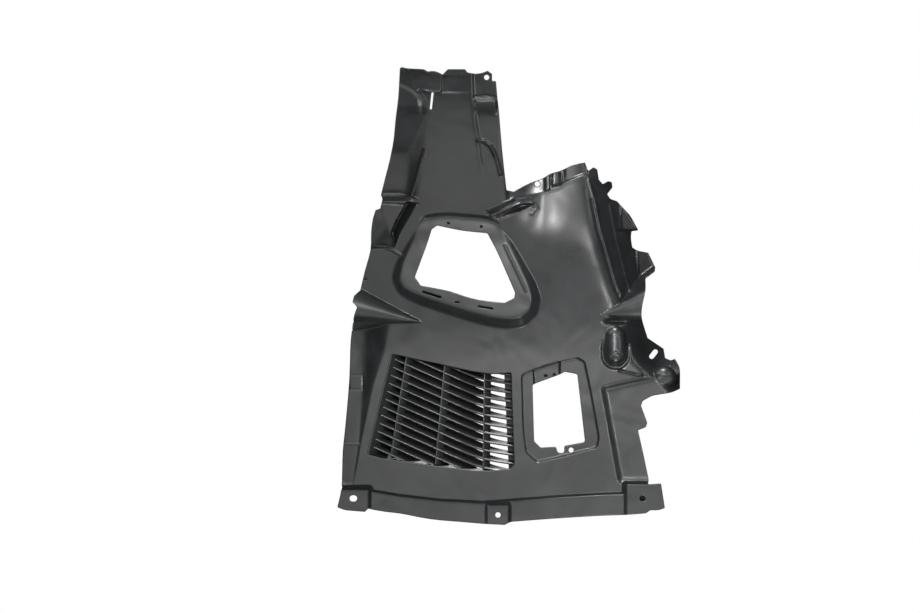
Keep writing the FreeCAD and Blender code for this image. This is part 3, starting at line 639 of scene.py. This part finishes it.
def join_rings(rings, verts, faces, closed=False):
    """Faces between a row of rings of points, capped unless the row is closed."""
    first = len(verts)
    count = len(rings[0])
    for ring in rings:
        verts.extend((x * MM, y * MM, z * MM) for x, y, z in ring)
    spans = len(rings) if closed else len(rings) - 1
    for span in range(spans):
        near = first + span * count
        far = first + ((span + 1) % len(rings)) * count
        for index in range(count):
            after = (index + 1) % count
            faces.append((near + index, near + after, far + after, far + index))
    if not closed:
        faces.append(tuple(first + index for index in reversed(range(count))))
        last = first + (len(rings) - 1) * count
        faces.append(tuple(last + index for index in range(count)))


def slanted(x, y, z, start):
    """A point carried back from a start depth, sideways with the air."""
    return (min(x + SLANT * (y - start), max(x, BOX_RIGHT)), y, z)


def plate_ring(x, z, side_x, side_z, gauge, start, depth):
    """One section of a louvre or rib: a thin plate with a rounded front edge."""
    half = gauge / 2
    nose = 0.35 * gauge
    section = ((-half, depth), (-half, nose), (-half + nose, 0), (half - nose, 0),
               (half, nose), (half, depth))
    return [slanted(x + side_x * off, start + back, z + side_z * off, start)
            for off, back in section]


def louvre_line(bend_height):
    """Points 1 mm apart along a louvre's front edge, with the direction across it."""
    result = []
    x = -25 - STEEP_RUN * math.cos(STEEP)
    z = bend_height + STEEP_RUN * math.sin(STEEP)
    while x < 45:
        fall = STEEP + (FLAT - STEEP) * float(ease(x, -52, 2))
        result.append((x, z, math.sin(fall), math.cos(fall)))
        x += math.cos(fall)
        z -= math.sin(fall)
    return result


def outlet_insert():
    """Box walls, louvres, ribs and the post at the right rear."""
    verts, faces = [], []
    start = PANEL + 1.2
    rear = PANEL + BOX_DEPTH
    rings = []
    for (x, z), (far_x, far_z) in zip(OUTLET, grown(OUTLET, 2)):
        rings.append([slanted(x, start, z, PANEL), slanted(x, rear, z, PANEL),
                      slanted(far_x, rear, far_z, PANEL),
                      slanted(far_x, start, far_z, PANEL)])
    join_rings(rings, verts, faces, closed=True)
    front = PANEL + INSET
    room = grown(OUTLET, 0.6)
    for number in LOUVRES:
        line = louvre_line(LOWEST + PITCH * number)
        x, z = np.array(line).T[:2]
        inside = is_inside(x - SLANT * INSET, z, room)
        run = []
        for point, kept in zip(line, inside.tolist() + [False]):
            if kept:
                run.append(point)
            elif len(run) > 4:
                rings = [plate_ring(*station, GAUGE, front, BOX_DEPTH - INSET)
                         for station in run[:-1:4] + run[-1:]]
                join_rings(rings, verts, faces)
                run = []
    for top, foot in UPRIGHTS:
        x = foot[0] + (top[0] - foot[0]) * np.arange(UPRIGHT_STEPS + 1) / UPRIGHT_STEPS
        z = foot[1] + (top[1] - foot[1]) * np.arange(UPRIGHT_STEPS + 1) / UPRIGHT_STEPS
        inside = is_inside(x - SLANT * INSET, z, room)
        run = list(zip(x[inside].tolist(), z[inside].tolist()))
        rings = [plate_ring(*station, 1, 0, 2, front - 0.3, 8)
                 for station in (run[0], run[-1])]
        join_rings(rings, verts, faces)
    post = [[(x, y, z) for x, z in REAR_POST] for y in (rear - 2, rear)]
    join_rings(post, verts, faces)
    return verts, faces


def faceted(name, verts, faces, sharp):
    """A mesh with outward faces, smooth up to an angle in degrees."""
    mesh = bpy.data.meshes.new(name)
    mesh.from_pydata([tuple(vert) for vert in verts], [], faces)
    work = bmesh.new()
    work.from_mesh(mesh)
    bmesh.ops.recalc_face_normals(work, faces=work.faces)
    work.to_mesh(mesh)
    work.free()
    mesh.shade_smooth()
    mesh.set_sharp_from_angle(angle=math.radians(sharp))
    return mesh


louvres = add_piece("louvre_insert", faceted("louvre_insert", *outlet_insert(), 35))


# Clip pockets: small blind seats behind the slots and holes that clips snap into, and the
# clip nut behind the right pad. Moulded with the panel, so that nothing shows through.
def clip_pockets():
    """A plug in each blind hole, its front sloped so that it lies in the dark."""
    verts, faces = [], []
    for loop in BLIND_HOLES:
        loop = grown(loop, 0.3)
        top = max(z for x, z in loop)
        face = liner_depth(*np.array(loop).T)
        rings = [[(x, y + ahead + 0.9 * (top - z), z) for (x, z), y in zip(loop, face)]
                 for ahead in (1.2, 5.0)]
        join_rings(rings, verts, faces)
    return verts, faces


pockets = add_piece("clip_pockets", faceted("clip_pockets", *clip_pockets(), 35))


# Black polypropylene, injection moulded in a finely grained steel mould. It gives a nearly
# black face with a low, broad sheen that varies a little where the melt flowed and cooled.
FLOW_MARK = 0.045
FLOW_MARK_SHADES = ("#1a1b1c", "#232425")
WAVE = 0.05
WAVE_HEIGHT = 0.0013
# The mould's real grain is about 0.3 mm, too fine to show, so it is drawn 4 mm coarse.
GRAIN = 0.004
GRAIN_HEIGHT = 0.00005


def linear(hex_code):
    """An sRGB hex colour as linear red, green, blue and alpha."""
    parts = [int(hex_code[start:start + 2], 16) / 255 for start in (1, 3, 5)]
    return [part / 12.92 if part <= 0.04045 else ((part + 0.055) / 1.055) ** 2.4
            for part in parts] + [1.0]


def add_node(tree, kind, settings=None, links=None):
    """A node with its values set and its inputs linked."""
    node = tree.nodes.new(kind)
    for name, value in (settings or {}).items():
        if name in node.inputs:
            node.inputs[name].default_value = value
        else:
            setattr(node, name, value)
    for name, source in (links or {}).items():
        tree.links.new(source, node.inputs[name])
    return node


def black_polypropylene():
    """Moulded polypropylene: flow marks, shrinkage waves and a faint grain."""
    material = bpy.data.materials.new("black_polypropylene")
    material.use_nodes = True
    tree = material.node_tree
    tree.nodes.clear()
    place = add_node(tree, "ShaderNodeTexCoord").outputs["Object"]
    flow = add_node(tree, "ShaderNodeTexNoise",
                    {"Scale": 1 / FLOW_MARK, "Detail": 3.0, "Distortion": 0.8},
                    {"Vector": place})
    grain = add_node(tree, "ShaderNodeTexNoise",
                     {"Scale": 1 / GRAIN, "Detail": 1.0}, {"Vector": place})
    wave = add_node(tree, "ShaderNodeTexNoise",
                    {"Scale": 1 / WAVE, "Detail": 1.0, "Distortion": 0.5},
                    {"Vector": place})
    colour = add_node(tree, "ShaderNodeValToRGB", links={"Fac": flow.outputs["Fac"]})
    colour.color_ramp.elements[0].position = 0.3
    colour.color_ramp.elements[0].color = linear(FLOW_MARK_SHADES[0])
    colour.color_ramp.elements[1].position = 0.75
    colour.color_ramp.elements[1].color = linear(FLOW_MARK_SHADES[1])
    sheen = add_node(tree, "ShaderNodeMapRange",
                     {"From Min": 0.3, "From Max": 0.7, "To Min": 0.27, "To Max": 0.35},
                     {"Value": flow.outputs["Fac"]})
    broad = add_node(tree, "ShaderNodeBump", {"Strength": 1.0, "Distance": WAVE_HEIGHT},
                     {"Height": wave.outputs["Fac"]})
    fine = add_node(tree, "ShaderNodeBump", {"Strength": 0.14, "Distance": GRAIN_HEIGHT},
                    {"Height": grain.outputs["Fac"], "Normal": broad.outputs["Normal"]})
    shader = add_node(tree, "ShaderNodeBsdfPrincipled", {"IOR": 1.49},
                      {"Base Color": colour.outputs["Color"],
                       "Roughness": sheen.outputs["Result"],
                       "Normal": fine.outputs["Normal"]})
    add_node(tree, "ShaderNodeOutputMaterial",
             links={"Surface": shader.outputs["BSDF"]})
    return material


plastic = black_polypropylene()
for piece in (moulding, louvres, pockets):
    piece.data.materials.append(plastic)
    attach(piece, "root")
    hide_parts("arch_liner")

# Studio: a pale floor and a white surround, a broad soft lamp in front, smaller ones over
# and beside the part, and black cloths that keep its walls dark, as round a gloss part.
def plain_surface(name, hex_code):
    """An unshiny surface of one colour, such as paper or cloth."""
    material = bpy.data.materials.new(name)
    material.use_nodes = True
    tree = material.node_tree
    tree.nodes.clear()
    paper = add_node(tree, "ShaderNodeBsdfDiffuse", {"Color": linear(hex_code)})
    add_node(tree, "ShaderNodeOutputMaterial", links={"Surface": paper.outputs["BSDF"]})
    return material


def stage_sheet(name, corners, material):
    """A flat four-cornered sheet of the studio, not part of the liner."""
    mesh = bpy.data.meshes.new(name)
    mesh.from_pydata(corners, [], [(0, 1, 2, 3)])
    sheet = bpy.data.objects.new(name, mesh)
    bpy.context.collection.objects.link(sheet)
    sheet.data.materials.append(material)
    return sheet


FLOOR_Z = -0.30
stage_sheet("floor", [(-4, -4, FLOOR_Z), (4, -4, FLOOR_Z), (4, 1.6, FLOOR_Z),
                      (-4, 1.6, FLOOR_Z)], plain_surface("white_paper", "#f2f2f2"))

# Black cloths, seen only in the part's own gloss: below, above, behind and at both sides.
# The floor in front stays bare, since the neck hangs forward and mirrors it.
CLOTH_SIDE, CLOTH_LOW, CLOTH_TOP = 1.7, -0.26, 2.4
CLOTH_NEAR, BARE_FLOOR_END, CLOTH_FAR = -3.0, -0.34, 2.2
REAR_GAP_LOW, REAR_GAP_HIGH = 0.55, 0.9
LOW_LEFT, LOW_RIGHT = (-CLOTH_SIDE, CLOTH_LOW), (CLOTH_SIDE, CLOTH_LOW)
TOP_LEFT, TOP_RIGHT = (-CLOTH_SIDE, CLOTH_TOP), (CLOTH_SIDE, CLOTH_TOP)
cloth = plain_surface("black_cloth", "#050505")
cloths = []
for name, (ax, az), (bx, bz), near in (("cloth_below", LOW_LEFT, LOW_RIGHT, BARE_FLOOR_END),
                                       ("cloth_above", TOP_LEFT, TOP_RIGHT, CLOTH_NEAR),
                                       ("cloth_left", LOW_LEFT, TOP_LEFT, CLOTH_NEAR),
                                       ("cloth_right", LOW_RIGHT, TOP_RIGHT, CLOTH_NEAR)):
    corners = [(ax, near, az), (bx, near, bz), (bx, CLOTH_FAR, bz), (ax, CLOTH_FAR, az)]
    cloths.append(stage_sheet(name, corners, cloth))
for name, low, high in (("cloth_behind_high", REAR_GAP_HIGH, CLOTH_TOP),
                        ("cloth_behind_low", CLOTH_LOW, REAR_GAP_LOW)):
    corners = [(-CLOTH_SIDE, CLOTH_FAR, low), (CLOTH_SIDE, CLOTH_FAR, low),
               (CLOTH_SIDE, CLOTH_FAR, high), (-CLOTH_SIDE, CLOTH_FAR, high)]
    cloths.append(stage_sheet(name, corners, cloth))
for sheet in cloths:
    sheet.visible_camera = False
    sheet.visible_diffuse = False
    sheet.visible_transmission = False
    sheet.visible_shadow = False

# The world is white to the eye and in the gloss, and a plain low light otherwise.
world = bpy.data.worlds.new("studio")
bpy.context.scene.world = world
world.use_nodes = True
tree = world.node_tree
tree.nodes.clear()
rays = add_node(tree, "ShaderNodeLightPath")
seen = rays.outputs["Is Camera Ray"]
for kind in ("Is Glossy Ray", "Is Transmission Ray"):
    either = add_node(tree, "ShaderNodeMath", {"operation": "MAXIMUM"})
    tree.links.new(seen, either.inputs[0])
    tree.links.new(rays.outputs[kind], either.inputs[1])
    seen = either.outputs["Value"]
level = add_node(tree, "ShaderNodeMapRange", {"To Min": 0.35, "To Max": 1.0},
                 {"Value": seen})
sky = add_node(tree, "ShaderNodeBackground", {"Color": linear("#ffffff")},
               {"Strength": level.outputs["Result"]})
add_node(tree, "ShaderNodeOutputWorld", links={"Surface": sky.outputs["Background"]})

TARGET = Vector((0.0, -0.03, 0.28))


def soft_lamp(name, place, width, height, glow):
    """A rectangular lamp aimed at the part. Its glow is its face's radiance."""
    lamp = bpy.data.lights.new(name, "AREA")
    lamp.shape = "RECTANGLE"
    lamp.size = width
    lamp.size_y = height
    lamp.energy = glow * math.pi * width * height
    item = bpy.data.objects.new(name, lamp)
    item.location = place
    item.rotation_euler = (TARGET - Vector(place)).to_track_quat("-Z", "Y").to_euler()
    item.visible_camera = False
    bpy.context.collection.objects.link(item)


# The three broad lamps give the even light. The small ones are for the highlights on the
# tab, the shoulder, the fold to the side, the cone, the duct frame and the thumb.
soft_lamp("front_lamp", (-0.3, -5.0, 1.75), 2.6, 3.4, 1.6)
soft_lamp("over_lamp", (-0.5, -1.15, 1.65), 2.0, 1.5, 2.3)
soft_lamp("tab_lamp", (0.10, -0.29, 1.25), 0.2, 0.2, 90)
soft_lamp("shoulder_lamp", (0.075, -0.75, 0.40), 0.05, 0.06, 260)
soft_lamp("side_lamp", (0.45, -0.75, 0.22), 0.04, 0.14, 90)
soft_lamp("left_lamp", (-1.3, -0.9, 1.3), 0.4, 0.4, 6)
soft_lamp("low_left_lamp", (-0.62, 0.34, -0.2), 0.2, 0.2, 60)
soft_lamp("low_right_lamp", (0.15, -0.21, -0.13), 0.05, 0.05, 60)
soft_lamp("right_lamp", (1.3, -1.0, 0.9), 0.12, 0.8, 12)
soft_lamp("rear_lamp", (0.4, 4.0, 1.6), 2.0, 2.0, 2.0)

# Camera: straight from the front, far off with a long lens, as in the photo.
VIEW_WIDTH = 1.196
VIEW_CENTRE = Vector((-0.0494, 0, 0.271))
DISTANCE = 20.0
SENSOR = 36
camera_data = bpy.data.cameras.new("camera")
camera_data.sensor_width = SENSOR
camera_data.lens = SENSOR * DISTANCE / VIEW_WIDTH
camera_data.clip_end = 60
camera = bpy.data.objects.new("camera", camera_data)
camera.location = VIEW_CENTRE + Vector((0, -DISTANCE, 0))
camera.rotation_euler = (math.radians(90), 0, 0)
bpy.context.collection.objects.link(camera)
bpy.context.scene.camera = camera
bpy.context.scene.view_settings.view_transform = "Standard"
